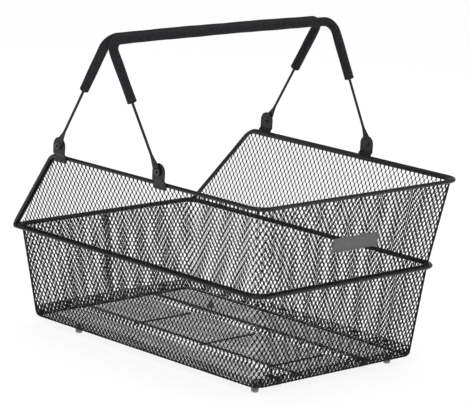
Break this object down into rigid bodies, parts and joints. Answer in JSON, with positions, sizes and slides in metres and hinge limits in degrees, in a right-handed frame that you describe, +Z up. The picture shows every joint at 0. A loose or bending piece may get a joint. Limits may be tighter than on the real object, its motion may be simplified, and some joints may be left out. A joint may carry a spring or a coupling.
{
  "type": "bicycle rear carrier basket",
  "caption": "Removable open mesh basket for a bicycle's rear carrier, with a lowered saddle end and two folding foam-covered handles.",
  "frame": {"origin": "on the ground under the middle of the basket, at the level its feet stand on", "axes": "+X to the rear end, which carries the badge plate; -X to the lowered saddle end; +Y to the left; +Z up"},
  "size_m": [0.4746, 0.4024, 0.4139],
  "materials": {
    "mesh": "satin black powder coat on expanded steel",
    "coated_steel": "satin black powder coat",
    "rivet": "dark plated",
    "foam": "matt closed-cell foam",
    "rubber_foot": "matt",
    "badge": "satin grey"
  },
  "bodies": {
    "basket": {"lower_mesh_wall": "mesh", "floor_mesh": "mesh", "floor_cross_wire_front": "coated_steel", "floor_cross_wire_middle": "coated_steel", "floor_cross_wire_rear": "coated_steel", "middle_hoop_wire": "coated_steel", "middle_hoop_band": "coated_steel", "upper_mesh_wall": "mesh", "top_rim_hem": "coated_steel", "top_rim_wire": "coated_steel", "foot_front_left": "rubber_foot", "foot_front_right": "rubber_foot", "foot_rear_left": "rubber_foot", "foot_rear_right": "rubber_foot", "carrier_hook_left": "coated_steel", "carrier_hook_right": "coated_steel", "handle_lug_front_left": "coated_steel", "handle_lug_front_right": "coated_steel", "handle_lug_rear_left": "coated_steel", "handle_lug_rear_right": "coated_steel", "handle_rivet_front_left": "rivet", "handle_rivet_front_right": "rivet", "handle_rivet_rear_left": "rivet", "handle_rivet_rear_right": "rivet", "rear_badge_plate": "badge"},
    "front_handle": {"handle_wire_front": "coated_steel", "foam_grip_front": "foam"},
    "rear_handle": {"handle_wire_rear": "coated_steel", "foam_grip_rear": "foam"}
  },
  "joints": [
    {"name": "front_handle_swing", "type": "hinge", "parent": "basket", "child": "front_handle", "pos_m": [-0.12, 0, 0.258], "axis": [0, -1, 0], "range_deg": [0, 164.5]},
    {"name": "rear_handle_swing", "type": "hinge", "parent": "basket", "child": "rear_handle", "pos_m": [0.065, 0, 0.258], "axis": [0, 1, 0], "range_deg": [0, 122]}
  ]
}
